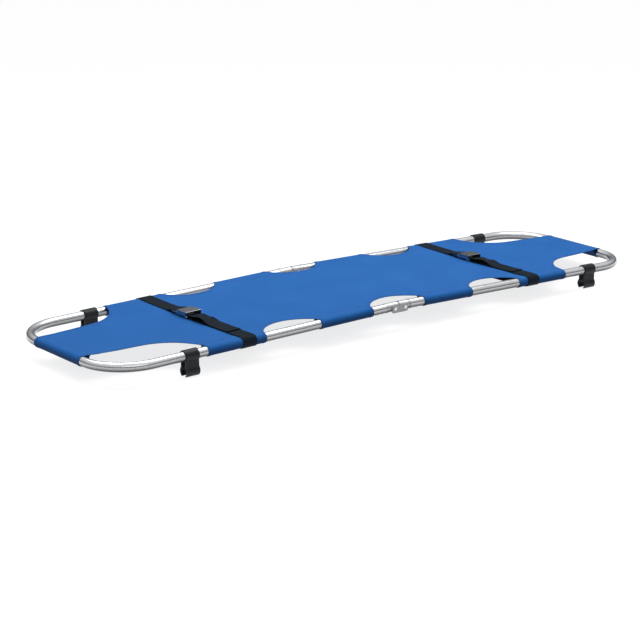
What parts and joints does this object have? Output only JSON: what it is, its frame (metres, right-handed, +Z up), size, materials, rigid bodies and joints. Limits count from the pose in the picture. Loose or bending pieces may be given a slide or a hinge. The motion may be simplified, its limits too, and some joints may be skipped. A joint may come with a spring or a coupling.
{
  "type": "folding stretcher",
  "caption": "Two-fold stretcher: U-shaped round-tube frame halves on double-pivot side hinges, blue canvas bed with hand-grip cut-outs, black straps and snap feet.",
  "frame": {"origin": "on the ground, below the middle of the hinge line", "axes": "+X from the foot end to the head end, +Y to the patient's right, +Z up"},
  "size_m": [2.0498, 0.5584, 0.0941],
  "materials": {
    "aluminium_tube": "satin polished",
    "cast_aluminium": "satin cast",
    "hinge_steel": "zinc plated, satin",
    "pin_steel": "turned",
    "black_clip": "moulded, soft sheen",
    "blue_canvas": "coated plain weave",
    "black_webbing": "ribbed webbing",
    "buckle_metal": "bright plated"
  },
  "bodies": {
    "foot_half": {"foot_frame_tube": "aluminium_tube", "left_foot_knuckle": "cast_aluminium", "right_foot_knuckle": "cast_aluminium", "foot_knuckle_rivets": "pin_steel", "left_foot_clip": "black_clip", "right_foot_clip": "black_clip", "foot_canvas": "blue_canvas", "foot_strap": "black_webbing", "foot_buckle_base": "buckle_metal", "foot_buckle_pin": "pin_steel", "foot_buckle_spring": "pin_steel"},
    "hinge_links": {"left_hinge_outer_link": "hinge_steel", "left_hinge_inner_link": "hinge_steel", "right_hinge_outer_link": "hinge_steel", "right_hinge_inner_link": "hinge_steel", "left_foot_hinge_pin": "pin_steel", "left_head_hinge_pin": "pin_steel", "right_foot_hinge_pin": "pin_steel", "right_head_hinge_pin": "pin_steel"},
    "head_half": {"head_frame_tube": "aluminium_tube", "left_head_knuckle": "cast_aluminium", "right_head_knuckle": "cast_aluminium", "head_knuckle_rivets": "pin_steel", "left_head_clip": "black_clip", "right_head_clip": "black_clip", "head_canvas": "blue_canvas", "head_strap": "black_webbing", "head_buckle_base": "buckle_metal", "head_buckle_pin": "pin_steel", "head_buckle_spring": "pin_steel"},
    "foot_lever": {"foot_buckle_lever": "buckle_metal"},
    "head_lever": {"head_buckle_lever": "buckle_metal"},
    "foot_tongue": {"foot_buckle_tongue": "buckle_metal", "foot_tongue_webbing": "black_webbing"},
    "head_tongue": {"head_buckle_tongue": "buckle_metal", "head_tongue_webbing": "black_webbing"}
  },
  "joints": [
    {"name": "foot_fold", "type": "hinge", "parent": "foot_half", "child": "hinge_links", "pos_m": [-0.0195, 0, 0.07009], "axis": [0, 1, 0], "range_deg": [0, 88.9]},
    {"name": "head_fold", "type": "hinge", "parent": "hinge_links", "child": "head_half", "pos_m": [0.0195, 0, 0.07009], "axis": [0, 1, 0], "range_deg": [0, 88.9]},
    {"name": "foot_lever_lift", "type": "hinge", "parent": "foot_half", "child": "foot_lever", "pos_m": [-0.55543, 0.046, 0.0874], "axis": [-0.9998, 0, -0.0192], "range_deg": [0, 80], "stiffness_Nm_per_rad": 0.02, "springref_deg": -20.05},
    {"name": "foot_tongue_slide", "type": "slide", "parent": "foot_half", "child": "foot_tongue", "axis": [0, 1, 0], "range_m": [0, 0.036]},
    {"name": "head_lever_lift", "type": "hinge", "parent": "head_half", "child": "head_lever", "pos_m": [0.55543, 0.046, 0.0874], "axis": [-0.9998, 0, 0.0192], "range_deg": [0, 80], "stiffness_Nm_per_rad": 0.02, "springref_deg": -20.05},
    {"name": "head_tongue_slide", "type": "slide", "parent": "head_half", "child": "head_tongue", "axis": [0, 1, 0], "range_m": [0, 0.036]}
  ]
}
